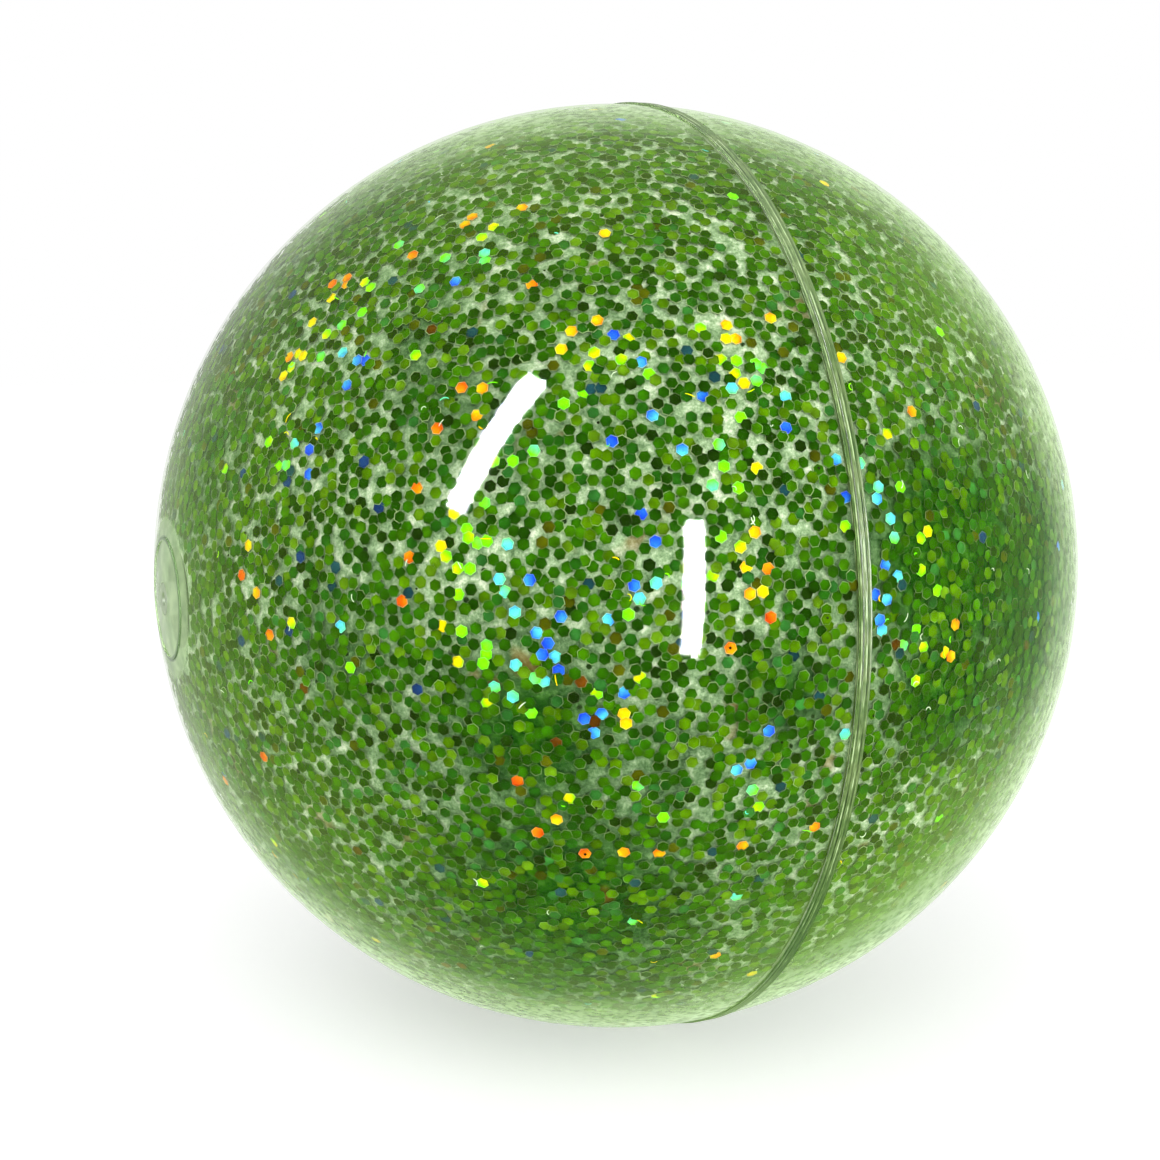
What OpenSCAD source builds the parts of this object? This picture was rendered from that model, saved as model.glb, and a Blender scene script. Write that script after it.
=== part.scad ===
// Clear inflatable play ball with hexagonal glitter in its wall.
// The ball is centred on the origin. Its moulding axis is X and the valve pole is at -X.
// The seam lies in the plane x = 0, and +Z is up.

/* [Ball] */
// Diameter over the smooth wall
ball_d = 216; // [150:1:300]
// Thickness of the clear wall
wall = 1.2; // [0.8:0.1:3]

/* [Seam] */
// Width of the clear strap that covers the joint of the two halves
seam_w = 2.8; // [2.4:0.1:6]
// Height of the strap's lips above the wall
seam_rise = 0.4; // [0.3:0.05:1]
// Width of the lip along each edge of the strap
seam_lip_w = 0.25; // [0.2:0.01:0.35]
// Bevel on the outer edge of each lip
seam_bevel = 0.1; // [0.05:0.01:0.15]
// Depth of the strap's face below its lips
face_drop = 0.1; // [0.05:0.01:0.12]
// Depth and half width of the parting groove
parting_groove = 0.1; // [0.04:0.01:0.12]
// Place of the parting groove, as a share of the way from the middle to the edge at the valve side
groove_share = 0.4; // [0:0.05:0.45]
// Height of the flow ridge above the strap's face
flow_rise = 0.06; // [0.02:0.01:0.1]
// Half width of the flow ridge
flow_half_w = 0.2; // [0.1:0.05:0.25]
// Place of the flow ridge, as a share of the way from the middle to the edge at the plain side
flow_share = 0.3; // [0.2:0.05:0.35]
// Gap between the two half shells, which the core of the strap fills
seam_core_w = 1.2; // [0.6:0.1:1.6]
// Width of the flash on the inside of the joint
flash_w = 2.2; // [1.8:0.1:4]
// Height of the flash above the inner face of the wall
flash_rise = 0.4; // [0.2:0.05:1]

/* [Valve pole] */
// Diameter of the raised plain ring round the valve, to the middle of its ridge
ring_d = 26; // [22:1:40]
// Width of the ridge
ring_w = 0.8; // [0.4:0.1:2]
// Height of the ridge above the wall
ring_rise = 0.25; // [0.1:0.05:0.5]
// Diameter of the thicker pad inside the wall at the valve
pad_d = 32; // [26:1:44]
// Extra thickness of the pad at its middle
pad_rise = 2; // [1.8:0.1:3]

/* [Valve socket] */
// Diameter of the socket's flange, which is bonded to the pad
flange_d = 22; // [16:0.5:25]
// Thickness of the flange
flange_t = 1.4; // [0.8:0.1:3]
// Outer diameter of the socket's tube
socket_d = 10; // [9:0.1:13]
// Length of the tube past the flange
socket_len = 11; // [6:0.5:16]

/* [Valve plug] */
// Diameter of the plug's head, flush with the outside of the ball
head_d = 7; // [6.8:0.1:8.2]
// Diameter of the plug's stem
stem_d = 5; // [4.2:0.1:5.6]
// Diameter of the barb that holds the plug in its socket
barb_d = 6.4; // [6:0.1:6.8]
// Length of the barb, which tapers to the tip
barb_len = 4; // [2:0.5:6]
// Diameter of the plug's tip
tip_d = 3.4; // [3:0.1:4]
// Diameter of the guide for the inflating needle
guide_d = 2.1; // [1.8:0.05:2.4]
// Straight length of the guide, which ends in the self-sealing tip
guide_len = 12; // [6:0.5:13]
// Diameter of the lead-in cone at the mouth of the guide
lead_in_d = 3.2; // [2.8:0.1:4]
// Radial gap between the plug and what it sits in
plug_gap = 0.1; // [0.05:0.01:0.15]

/* [Glitter] */
// Width of a glitter flake across its flats
flake_af = 2; // [1:0.1:3]
// Thickness of a flake
flake_t = 0.1; // [0.05:0.01:0.2]
// Gap between a flake's corners and the inside of the wall
flake_gap = 0.2; // [0.1:0.05:0.3]
// Number of flakes modelled in each half
flakes_per_half = 350; // [50:10:400]
// Flake-free margin on each side of the middle of the seam
seam_margin = 2.4; // [2:0.1:5]
// Flake-free margin round the valve pad
pad_margin = 0.8; // [0.5:0.1:4]

/* [Hidden] */
$fn = 96;
// Finer arcs for the thin sections of the strap
strap_fn = 720;

// Which side of the seam a half is on
valve_side = -1;
plain_side = 1;

// Overrun of every cut
over = 1;

// Radii of the wall, of the seam strap and of the flash inside it
out_r = ball_d / 2;
in_r = out_r - wall;
strap_r = out_r + seam_rise;
flash_r = in_r - flash_rise;

// Distances of the valve's faces from the middle of the ball, along its axis
pad_face = in_r - pad_rise;
flange_face = pad_face - flange_t;
socket_end = flange_face - socket_len;
barb_end = socket_end - barb_len;
guide_r = guide_d / 2;
lead_in_r = lead_in_d / 2;
guide_mouth = out_r - (lead_in_r - guide_r);
guide_end = guide_mouth - guide_len;

// A flake's corner radius, and the distance of its outer face from the middle of the ball
flake_r = flake_af / sqrt(3);
flake_face = sqrt(pow(in_r - flake_gap, 2) - pow(flake_r, 2));

// Latitudes, measured from the seam, between which the flakes lie
seam_latitude = asin((seam_margin + flake_r) / in_r);
pad_latitude = acos((pad_d / 2 + pad_margin + flake_r) / in_r);
golden_angle = 180 * (3 - sqrt(5));
// Share of the step between two flakes by which each may stray from the even spiral
stray_share = 0.45;

// Colours of the clear vinyl, the plug and the glitter
clear_green = [0.78, 0.87, 0.78, 0.4];
plug_green = [0.62, 0.74, 0.62];
glitter_green = [0.2, 0.48, 0.05];

// Solid of revolution round the ball's axis. A section's x is the distance from that axis,
// and its y is the place along it, so the valve pole is at negative y.
module revolve() {
    rotate([0, 90, 0]) rotate_extrude() children();
}

// Rectangle of a section, from one distance from the axis to another and from low to high
module band(near, far, low, high) {
    translate([near, low]) square([far - near, high - low]);
}

// Section of a half shell of even thickness, which ends at the strap's core
module half_section(side) {
    core_edge = side * seam_core_w / 2;
    beyond = side * (out_r + over);
    intersection() {
        difference() {
            circle(out_r);
            circle(in_r);
        }
        band(0, out_r + over, min(core_edge, beyond), max(core_edge, beyond));
    }
}

// Half with the valve: a thicker pad inside, a plain raised ring outside and the valve's hole
module valve_half_shell() {
    color(clear_green) revolve() difference() {
        union() {
            half_section(valve_side);
            intersection() {
                circle(out_r);
                band(0, pad_d / 2, -out_r, -pad_face);
            }
            intersection() {
                circle(out_r + ring_rise);
                band((ring_d - ring_w) / 2, (ring_d + ring_w) / 2, -out_r, -pad_face - wall);
            }
        }
        band(-over, head_d / 2 + plug_gap, -out_r - over, -pad_face + over);
    }
}

// Half without a valve
module plain_half_shell() {
    color(clear_green) revolve() half_section(plain_side);
}

// Section of the strap's outer band: a lip along each edge, and between them a lower face with
// the parting groove nearer the valve side and a low flow ridge nearer the plain side
module strap_section() {
    half_w = seam_w / 2;
    lip_in = half_w - seam_lip_w;
    face_r = strap_r - face_drop;
    groove_y = -groove_share * half_w;
    flow_y = flow_share * half_w;
    polygon([
        [in_r, -half_w],
        [strap_r - seam_bevel, -half_w],
        [strap_r, seam_bevel - half_w],
        [strap_r, -lip_in],
        [face_r, face_drop - lip_in],
        [face_r, groove_y - parting_groove],
        [face_r - parting_groove, groove_y],
        [face_r, groove_y + parting_groove],
        [face_r, flow_y - flow_half_w],
        [face_r + flow_rise, flow_y],
        [face_r, flow_y + flow_half_w],
        [face_r, lip_in - face_drop],
        [strap_r, lip_in],
        [strap_r, half_w - seam_bevel],
        [strap_r - seam_bevel, half_w],
        [in_r, half_w]
    ]);
}

// Clear strap over the joint, its core between the halves and the flash inside
module seam_strap() {
    color(clear_green) revolve() {
        difference() {
            strap_section();
            circle(out_r, $fn = strap_fn);
        }
        difference() {
            band(flash_r - over, out_r + seam_rise / 2, -seam_core_w / 2, seam_core_w / 2);
            circle(flash_r, $fn = strap_fn);
        }
        intersection() {
            band(flash_r - over, in_r + over, -flash_w / 2, flash_w / 2);
            difference() {
                circle(in_r, $fn = strap_fn);
                circle(flash_r, $fn = strap_fn);
            }
        }
    }
}

// Socket bonded to the pad: a flange and a tube that grips the plug's stem
module valve_socket() {
    bore_r = stem_d / 2 + plug_gap;
    color(clear_green) revolve() {
        band(bore_r, flange_d / 2, -pad_face, -flange_face);
        band(bore_r, socket_d / 2, -pad_face, -socket_end);
    }
}

// Soft plug: a head flush with the ball, a stem, a barb behind the tube and the needle's guide
module valve_plug() {
    color(plug_green) revolve() difference() {
        union() {
            intersection() {
                circle(out_r);
                band(0, head_d / 2, -out_r, -pad_face);
            }
            band(0, stem_d / 2, -pad_face - wall, -socket_end);
            polygon([
                [0, -socket_end],
                [barb_d / 2, -socket_end],
                [tip_d / 2, -barb_end],
                [0, -barb_end]
            ]);
        }
        band(-over, guide_r, -out_r - over, -guide_end);
        polygon([
            [0, -out_r],
            [lead_in_r, -out_r],
            [guide_r, -guide_mouth],
            [0, -guide_mouth]
        ]);
    }
}

// Hexagonal flakes, each flat against the wall. They follow a golden-angle spiral that covers
// equal areas with equal numbers, and each one strays from it a little.
module half_glitter(side, seed) {
    seam_sine = sin(seam_latitude);
    step = (sin(pad_latitude) - seam_sine) / flakes_per_half;
    strays = rands(-stray_share, stray_share, flakes_per_half, seed);
    spins = rands(0, 60, flakes_per_half, seed + 1);
    color(glitter_green) for (i = [0 : flakes_per_half - 1]) {
        latitude = asin(seam_sine + step * (i + 0.5 + strays[i]));
        rotate([i * golden_angle, 0, 0])
            rotate([0, side * latitude, 0])
            translate([0, 0, flake_face - flake_t])
            rotate([0, 0, spins[i]])
            cylinder(r = flake_r, h = flake_t, $fn = 6);
    }
}

// Glitter of the half with the valve
module valve_half_glitter() {
    half_glitter(valve_side, 11);
}

// Glitter of the plain half
module plain_half_glitter() {
    half_glitter(plain_side, 23);
}

valve_half_shell();
plain_half_shell();
seam_strap();
valve_socket();
valve_plug();
valve_half_glitter();
plain_half_glitter();
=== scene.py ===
"""Clear play ball full of green holographic glitter, standing on a pale floor."""
import math

import bpy
import numpy as np
from mathutils import Matrix, Vector


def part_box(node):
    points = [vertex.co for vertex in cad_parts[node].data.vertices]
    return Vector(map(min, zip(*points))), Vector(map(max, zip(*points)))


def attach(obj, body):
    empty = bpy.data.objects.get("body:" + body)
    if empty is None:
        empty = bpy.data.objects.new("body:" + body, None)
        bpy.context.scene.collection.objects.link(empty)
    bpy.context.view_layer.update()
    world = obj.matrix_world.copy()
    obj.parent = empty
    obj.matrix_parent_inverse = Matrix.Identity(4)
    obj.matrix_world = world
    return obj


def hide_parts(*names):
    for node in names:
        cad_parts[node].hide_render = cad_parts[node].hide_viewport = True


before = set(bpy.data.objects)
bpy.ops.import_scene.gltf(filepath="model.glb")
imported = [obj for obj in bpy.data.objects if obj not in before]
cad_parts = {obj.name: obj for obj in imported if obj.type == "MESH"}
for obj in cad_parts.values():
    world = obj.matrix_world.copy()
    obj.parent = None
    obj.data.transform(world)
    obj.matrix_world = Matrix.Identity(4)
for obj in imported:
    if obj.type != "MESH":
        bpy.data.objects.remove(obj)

MM = 0.001
# Seeds of the random draws: one for all pieces, and one for which flakes get painted glints
SEED = 20
FILM_SEED = 507

# The ball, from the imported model
BALL_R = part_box("plain_half_shell")[1].x
STRAP_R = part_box("seam_strap")[1].z
WALL = 1.2 * MM
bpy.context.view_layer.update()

# The photograph's frame and what its perspective gives, with the distance in radii of the ball
PHOTO_PX = 1160
FOCAL_PX = 1742
BALL_PX = (613.5, 566.5)
CAMERA_RADII = 3.90
CAMERA_AZIMUTH = -24.6
CAMERA_ELEVATION = 9.4
SENSOR = 36

# The glitter
FLAKE_AF = 2.2 * MM
FLAKE_R = FLAKE_AF / math.sqrt(3)
FLAKE_T = 0.05 * MM
FLAKE_COUNT = 25500
SPECK_COUNT = 500
SLIVER_COUNT = 260
SEAM_CLEAR = 0.75 * MM
PAD_CLEAR = 16.8 * MM
RING_R = 13 * MM

# The seam strap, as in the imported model
STRAP_HALF_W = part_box("seam_strap")[1].x
STRAP_LIP_W = 0.25 * MM
STRAP_LIP_RISE = 0.1 * MM
STRAP_STEPS = 900
CORE_HALF_W = 0.6 * MM
FLASH_HALF_W = 1.1 * MM
FLASH_RISE = 0.4 * MM


def linear(r, g, b):
    """Linear colour of an 8-bit screen colour."""
    shares = [c / 255 for c in (r, g, b)]
    return tuple(c / 12.92 if c <= 0.04045 else ((c + 0.055) / 1.055) ** 2.4 for c in shares)


def aim(azimuth, elevation):
    """Direction from the ball's middle: azimuth 0 is the front, and 90 the plain pole."""
    a, e = math.radians(azimuth), math.radians(elevation)
    return Vector((math.sin(a) * math.cos(e), -math.cos(a) * math.cos(e), math.sin(e)))


def add_object(name, data):
    """A new object, linked into the scene."""
    made = bpy.data.objects.new(name, data)
    bpy.context.scene.collection.objects.link(made)
    return made


# Camera

def camera_axes():
    """The camera's right, up and back directions."""
    back = aim(CAMERA_AZIMUTH, CAMERA_ELEVATION)
    azimuth = math.radians(CAMERA_AZIMUTH)
    right = Vector((math.cos(azimuth), math.sin(azimuth), 0))
    return right, back.cross(right), back


def camera_place():
    """The camera's place, from where the ball's middle lies in the photograph."""
    right, up, back = camera_axes()
    depth = CAMERA_RADII * BALL_R
    across = (BALL_PX[0] - PHOTO_PX / 2) / FOCAL_PX * depth
    above = (PHOTO_PX / 2 - BALL_PX[1]) / FOCAL_PX * depth
    return back * depth - right * across - up * above


def make_camera():
    data = bpy.data.cameras.new("camera")
    data.sensor_width = SENSOR
    data.lens = FOCAL_PX / PHOTO_PX * SENSOR
    data.clip_start = 0.01
    data.clip_end = 50
    camera = add_object("camera", data)
    turn = Matrix(camera_axes()).transposed().to_4x4()
    camera.matrix_world = Matrix.Translation(camera_place()) @ turn
    bpy.context.scene.camera = camera


def seen_at(x, y):
    """The point of the ball at a pixel of the photograph, and the direction in which it mirrors."""
    right, up, back = camera_axes()
    eye = camera_place()
    ray = (right * (x - PHOTO_PX / 2) - up * (y - PHOTO_PX / 2) - back * FOCAL_PX).normalized()
    along = eye.dot(ray)
    reach = along * along - eye.dot(eye) + BALL_R * BALL_R
    point = eye + ray * (-along - math.sqrt(max(reach, 0)))
    normal = point.normalized()
    return point, ray - 2 * ray.dot(normal) * normal


# Materials

def new_material(name):
    material = bpy.data.materials.new(name)
    material.use_nodes = True
    tree = material.node_tree
    tree.nodes.clear()
    return material, tree


def node(tree, kind, **values):
    """A node with some of its inputs or settings given by name."""
    made = tree.nodes.new(kind)
    for name, value in values.items():
        if name in made.inputs:
            made.inputs[name].default_value = value
        else:
            setattr(made, name, value)
    return made


def math_node(tree, operation, a, b=None):
    made = tree.nodes.new("ShaderNodeMath")
    made.operation = operation
    for socket, value in zip(made.inputs, (a, b)):
        if isinstance(value, (int, float)):
            socket.default_value = value
        elif value is not None:
            tree.links.new(value, socket)
    return made.outputs[0]


def weighted_sum(tree, first, first_share, second, second_share):
    """Two values, each times its share, added up."""
    first = math_node(tree, "MULTIPLY", first, first_share)
    second = math_node(tree, "MULTIPLY", second, second_share)
    return math_node(tree, "ADD", first, second)


def vector_math(tree, operation, a, b=None):
    made = tree.nodes.new("ShaderNodeVectorMath")
    made.operation = operation
    for socket, value in zip(made.inputs, (a, b)):
        if isinstance(value, (tuple, Vector)):
            socket.default_value = value
        elif value is not None:
            tree.links.new(value, socket)
    return made


def combined(tree, x=None, y=None):
    """A vector of linked values."""
    made = tree.nodes.new("ShaderNodeCombineXYZ")
    for socket, value in zip(made.inputs, (x, y)):
        if isinstance(value, (int, float)):
            socket.default_value = value
        elif value is not None:
            tree.links.new(value, socket)
    return made.outputs[0]


def separated(tree, vector):
    made = tree.nodes.new("ShaderNodeSeparateXYZ")
    tree.links.new(vector, made.inputs[0])
    return made.outputs


def map_range(tree, value, low, high, to_low, to_high, interpolation="LINEAR"):
    """A value's range stretched to another one, and held at its ends."""
    made = tree.nodes.new("ShaderNodeMapRange")
    made.interpolation_type = interpolation
    tree.links.new(value, made.inputs["Value"])
    made.inputs["From Min"].default_value = low
    made.inputs["From Max"].default_value = high
    made.inputs["To Min"].default_value = to_low
    made.inputs["To Max"].default_value = to_high
    return made.outputs[0]


def smooth_range(tree, value, low, high, to_low, to_high):
    """The same with a smooth start and end."""
    return map_range(tree, value, low, high, to_low, to_high, "SMOOTHSTEP")


def object_coordinates(tree):
    return tree.nodes.new("ShaderNodeTexCoord").outputs["Object"]


def noise(tree, vector, scale, detail=2.0, roughness=0.5):
    made = tree.nodes.new("ShaderNodeTexNoise")
    made.inputs["Scale"].default_value = scale
    made.inputs["Detail"].default_value = detail
    made.inputs["Roughness"].default_value = roughness
    tree.links.new(vector, made.inputs["Vector"])
    return made.outputs[0]


def colour_ramp(tree, factor, stops):
    """Colour by a factor, from a list of places and 8-bit screen colours."""
    made = tree.nodes.new("ShaderNodeValToRGB")
    elements = made.color_ramp.elements
    for element, (place, colour) in zip((elements[0], elements[1]), (stops[0], stops[-1])):
        element.position = place
        element.color = (*linear(*colour), 1)
    for place, colour in stops[1:-1]:
        elements.new(place).color = (*linear(*colour), 1)
    tree.links.new(factor, made.inputs[0])
    return made.outputs[0]


def mix_shader(tree, factor, first, second):
    made = tree.nodes.new("ShaderNodeMixShader")
    if isinstance(factor, (int, float)):
        made.inputs[0].default_value = factor
    else:
        tree.links.new(factor, made.inputs[0])
    tree.links.new(first, made.inputs[1])
    tree.links.new(second, made.inputs[2])
    return made.outputs[0]


def bump(tree, height, strength, distance):
    made = tree.nodes.new("ShaderNodeBump")
    made.inputs["Strength"].default_value = strength
    made.inputs["Distance"].default_value = distance
    tree.links.new(height, made.inputs["Height"])
    return made.outputs[0]


def output(tree, shader):
    made = tree.nodes.new("ShaderNodeOutputMaterial")
    tree.links.new(shader, made.inputs["Surface"])


def patch(tree, place, azimuth, elevation, reach, soft):
    """1 near a spot of the ball, 0 past its reach, which is in radii of the ball."""
    apart = vector_math(tree, "DISTANCE", place, aim(azimuth, elevation) * BALL_R).outputs["Value"]
    return smooth_range(tree, apart, reach * BALL_R, (reach - soft) * BALL_R, 0.0, 1.0)


def axis_distance(tree, place):
    """Distance from the ball's moulding axis."""
    flat = vector_math(tree, "MULTIPLY", place, (0, 1, 1))
    return vector_math(tree, "LENGTH", flat.outputs[0]).outputs["Value"]


def along_axis(tree, place):
    """Place along the ball's moulding axis."""
    return separated(tree, place)[0]


def mix_colour(tree, factor, first, second):
    made = tree.nodes.new("ShaderNodeMix")
    made.data_type = "RGBA"
    tree.links.new(factor, made.inputs["Factor"])
    for socket, colour in ((made.inputs[6], first), (made.inputs[7], second)):
        if isinstance(colour, tuple):
            socket.default_value = (*linear(*colour), 1)
        else:
            tree.links.new(colour, socket)
    return made.outputs[2]


# Where the glitter behind the wall lies thick: azimuth, elevation, reach and soft edge in radii
THICK_SPOTS = [
    (-31, -28, 0.50, 0.44),
    (-54, -1, 0.26, 0.34),
    (-34, -8, 0.32, 0.28),
    (-8, -4, 0.20, 0.20),
    (-80, 16, 0.32, 0.52),
    (-84, 42, 0.30, 0.60),
    (-150, -30, 0.70, 0.55),
    (-120, 30, 0.60, 0.50),
]
# The same in the plain half, which stop at the seam
PLAIN_THICK_SPOTS = [
    (13, 8, 0.36, 0.24),
    (12, -5, 0.26, 0.20),
    (30, 2, 0.42, 0.30),
    (150, -30, 0.70, 0.55),
    (110, 35, 0.70, 0.50),
]
# Where it lies thin
THIN_SPOTS = [
    (9, -24, 0.36, 0.30),
    (22, 36, 0.50, 0.35),
    (-58, -24, 0.35, 0.30),
    (-34, 60, 0.55, 0.40),
    (-6, 60, 0.45, 0.35),
    (-70, -14, 0.30, 0.25),
]
# Where the wall is hazier, where its limb stays clearer, and where its green haze is thinner
HAZY_SPOTS = [(22, -40, 0.60, 0.50), (-25, -68, 0.50, 0.40)]
CLEAR_SPOT = (-104, 12, 0.95, 0.50)
CRISP_SPOT = (-88, 45, 0.55, 0.35)


def thickness(tree, place):
    """Share of the ground between the flakes that is dark with the glitter behind it."""
    thick = smooth_range(tree, noise(tree, place, 30, 3.0, 0.6), 0.46, 0.66, 0.0, 0.7)
    for spot in THIN_SPOTS:
        cover = math_node(tree, "SUBTRACT", 1.0, patch(tree, place, *spot))
        thick = math_node(tree, "MULTIPLY", thick, cover)
    for spot in THICK_SPOTS:
        thick = math_node(tree, "MAXIMUM", thick, patch(tree, place, *spot))
    plain_side = map_range(tree, along_axis(tree, place), -1 * MM, 2 * MM, 0.0, 1.0)
    for spot in PLAIN_THICK_SPOTS:
        cover = math_node(tree, "MULTIPLY", patch(tree, place, *spot), plain_side)
        thick = math_node(tree, "MAXIMUM", thick, cover)
    return thick


def dark_dots(tree, place):
    """Fine dark dots, seldom and small."""
    cells = tree.nodes.new("ShaderNodeTexVoronoi")
    cells.inputs["Scale"].default_value = 260
    tree.links.new(place, cells.inputs["Vector"])
    dots = smooth_range(tree, cells.outputs["Distance"], 0.12, 0.20, 1.0, 0.0)
    some = smooth_range(tree, noise(tree, place, 120, 1.0), 0.54, 0.58, 0.0, 1.0)
    return math_node(tree, "MULTIPLY", dots, some)


def pad_sides(tree, place):
    """1 where the inner face stands across the wall, round the valve's pad."""
    geometry = tree.nodes.new("ShaderNodeNewGeometry")
    out = vector_math(tree, "NORMALIZE", place).outputs[0]
    lean = vector_math(tree, "DOT_PRODUCT", geometry.outputs["Normal"], out).outputs["Value"]
    return smooth_range(tree, math_node(tree, "ABSOLUTE", lean), 0.4, 0.8, 1.0, 0.0)


def slant(tree):
    """0 where the surface faces the viewer and 1 at the limb. A see-through wall looks thicker there."""
    return node(tree, "ShaderNodeLayerWeight", Blend=0.5).outputs["Facing"]


# Colours of the wall's inner face by its tone, where the glitter behind it is thin and where it is thick
PALE_GROUND = [
    (0.36, (84, 116, 72)),
    (0.45, (134, 166, 117)),
    (0.53, (179, 207, 159)),
    (0.62, (242, 252, 221)),
]
DEEP_GROUND = [
    (0.36, (12, 52, 4)),
    (0.46, (25, 78, 10)),
    (0.54, (44, 100, 16)),
    (0.64, (80, 142, 38)),
]
DOT_COLOUR = (36, 58, 22)
STAIN_COLOUR = (150, 96, 34)
# Pale colour painted on the pad's side walls, as painted light over their shade
PAD_SIDE_PAINTED_LIGHT = (214, 226, 198)
# Share of the inner face that is cloudy, and share of that which is lit from behind
CLOUDINESS = 0.95
BACK_LIT = 0.1


def inner_face(tree, place, thick):
    """Cloudy inner face of the wall: sage green with fine specks and veins, deep green over thick glitter,
    and painted light on the pad's shaded side walls.
    """
    grain = noise(tree, place, 1700, 3.0, 0.8)
    clouds = noise(tree, place, 320, 5.0, 0.7)
    tone = weighted_sum(tree, grain, 0.35, clouds, 0.65)
    pale = colour_ramp(tree, tone, PALE_GROUND)
    deep = colour_ramp(tree, tone, DEEP_GROUND)
    ground = mix_colour(tree, thick, pale, deep)
    ground = mix_colour(tree, dark_dots(tree, place), ground, DOT_COLOUR)
    stain = smooth_range(tree, noise(tree, place, 75, 2.0), 0.66, 0.74, 0.0, 0.5)
    ground = mix_colour(tree, stain, ground, STAIN_COLOUR)
    # The pad's side walls get a pale colour painted over their shade
    ground = mix_colour(tree, pad_sides(tree, place), ground, PAD_SIDE_PAINTED_LIGHT)
    front = tree.nodes.new("ShaderNodeBsdfDiffuse")
    tree.links.new(ground, front.inputs["Color"])
    back = tree.nodes.new("ShaderNodeBsdfTranslucent")
    tree.links.new(ground, back.inputs["Color"])
    cloudy = mix_shader(tree, BACK_LIT, front.outputs[0], back.outputs[0])
    clear = tree.nodes.new("ShaderNodeBsdfTransparent")
    return mix_shader(tree, CLOUDINESS, clear.outputs[0], cloudy)


def line_mask(tree, value, centre, half_width):
    """1 on a line at centre, falling to 0 at its half width."""
    away = math_node(tree, "ABSOLUTE", math_node(tree, "SUBTRACT", value, centre))
    return smooth_range(tree, away, half_width, half_width * 0.35, 0.0, 1.0)


def haze(tree, colour):
    made = tree.nodes.new("ShaderNodeBsdfDiffuse")
    tree.links.new(colour, made.inputs["Color"])
    return made.outputs[0]


# Green of the haze over thin and over thick glitter
THIN_GREEN = (120, 168, 50)
THICK_GREEN = (60, 126, 14)


def green_haze(tree, place, thick, facing):
    """The glitter deeper in the wall, which blurs into a green haze where one looks through more of it."""
    share = math_node(tree, "POWER", map_range(tree, facing, 0.12, 0.66, 0.0, 1.0), 1.3)
    broad = map_range(tree, noise(tree, place, 30, 3.0), 0.35, 0.65, 0.16, 0.36)
    for spot in HAZY_SPOTS:
        broad = weighted_sum(tree, broad, 1.0, patch(tree, place, *spot), 0.28)
    crisp = map_range(tree, patch(tree, place, *CRISP_SPOT), 0.0, 1.0, 1.0, 0.55)
    broad = math_node(tree, "MULTIPLY", broad, crisp)
    colour = mix_colour(tree, thick, THIN_GREEN, THICK_GREEN)
    return math_node(tree, "MULTIPLY", share, broad), haze(tree, colour)


# Colours of the milky haze and of the valve's pad, and of the painted shade along the ring ridge on it
MILKY = (202, 234, 172)
PAD_CLOUDS = [(0.32, (88, 118, 70)), (0.68, (152, 178, 124))]
RING_SHADE_COLOUR = (98, 124, 82)


def pale_haze(tree, place, thick, facing):
    """Milky haze close to the limb and over the valve's pad, and a darker line of painted shade along its
    ring.
    """
    share = map_range(tree, facing, 0.64, 0.93, 0.0, 0.88)
    broad = map_range(tree, noise(tree, place, 55, 4.0, 0.7), 0.35, 0.65, 0.65, 1.10)
    fine = map_range(tree, noise(tree, place, 520, 2.0, 0.6), 0.38, 0.60, 0.45, 1.35)
    thinner = map_range(tree, thick, 0.0, 1.0, 1.0, 0.7)
    clearer = map_range(tree, patch(tree, place, *CLEAR_SPOT), 0.0, 1.0, 1.0, 0.12)
    for factor in (broad, fine, thinner, clearer):
        share = math_node(tree, "MULTIPLY", share, factor)
    distance = axis_distance(tree, place)
    valve_side = math_node(tree, "LESS_THAN", along_axis(tree, place), 0.0)
    pad = smooth_range(tree, distance, PAD_CLEAR - 0.4 * MM, PAD_CLEAR + 1.6 * MM, 0.72, 0.0)
    pad = math_node(tree, "MULTIPLY", pad, valve_side)
    # A darker line along the ring ridge on the pad is painted shade
    ring = line_mask(tree, distance, RING_R + 0.25 * MM, 0.70 * MM)
    ring = math_node(tree, "MULTIPLY", ring, valve_side)
    share = math_node(tree, "MAXIMUM", share, math_node(tree, "MAXIMUM", pad, ring))
    clouds = colour_ramp(tree, noise(tree, place, 220, 3.0), PAD_CLOUDS)
    colour = mix_colour(tree, pad, MILKY, clouds)
    colour = mix_colour(tree, ring, colour, RING_SHADE_COLOUR)
    return share, haze(tree, colour)


# Share of the mirror at the limb and where the skin faces the viewer
LIMB_MIRROR = 0.62
LEAST_MIRROR = 0.003


def outer_skin(tree, place, thick):
    """Glossy clear skin. It mirrors more at a slant, where the wall also looks thicker and hazier."""
    ripple = weighted_sum(tree, noise(tree, place, 70, 2.0), 1.0, noise(tree, place, 900, 2.0), 0.05)
    gloss = node(tree, "ShaderNodeBsdfGlossy", Roughness=0.03)
    tree.links.new(bump(tree, ripple, 0.06, 0.0006), gloss.inputs["Normal"])
    clear = node(tree, "ShaderNodeBsdfTransparent", Color=(0.995, 1.0, 0.99, 1))
    geometry = tree.nodes.new("ShaderNodeNewGeometry")
    front = math_node(tree, "SUBTRACT", 1.0, geometry.outputs["Backfacing"])
    facing = slant(tree)
    skin = clear.outputs[0]
    for share, cloud in (green_haze(tree, place, thick, facing), pale_haze(tree, place, thick, facing)):
        skin = mix_shader(tree, math_node(tree, "MULTIPLY", share, front), skin, cloud)
    mirror = math_node(tree, "MULTIPLY", math_node(tree, "POWER", facing, 5.0), LIMB_MIRROR)
    mirror = math_node(tree, "ADD", mirror, LEAST_MIRROR)
    return mix_shader(tree, math_node(tree, "MULTIPLY", mirror, front), skin, gloss.outputs[0])


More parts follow.
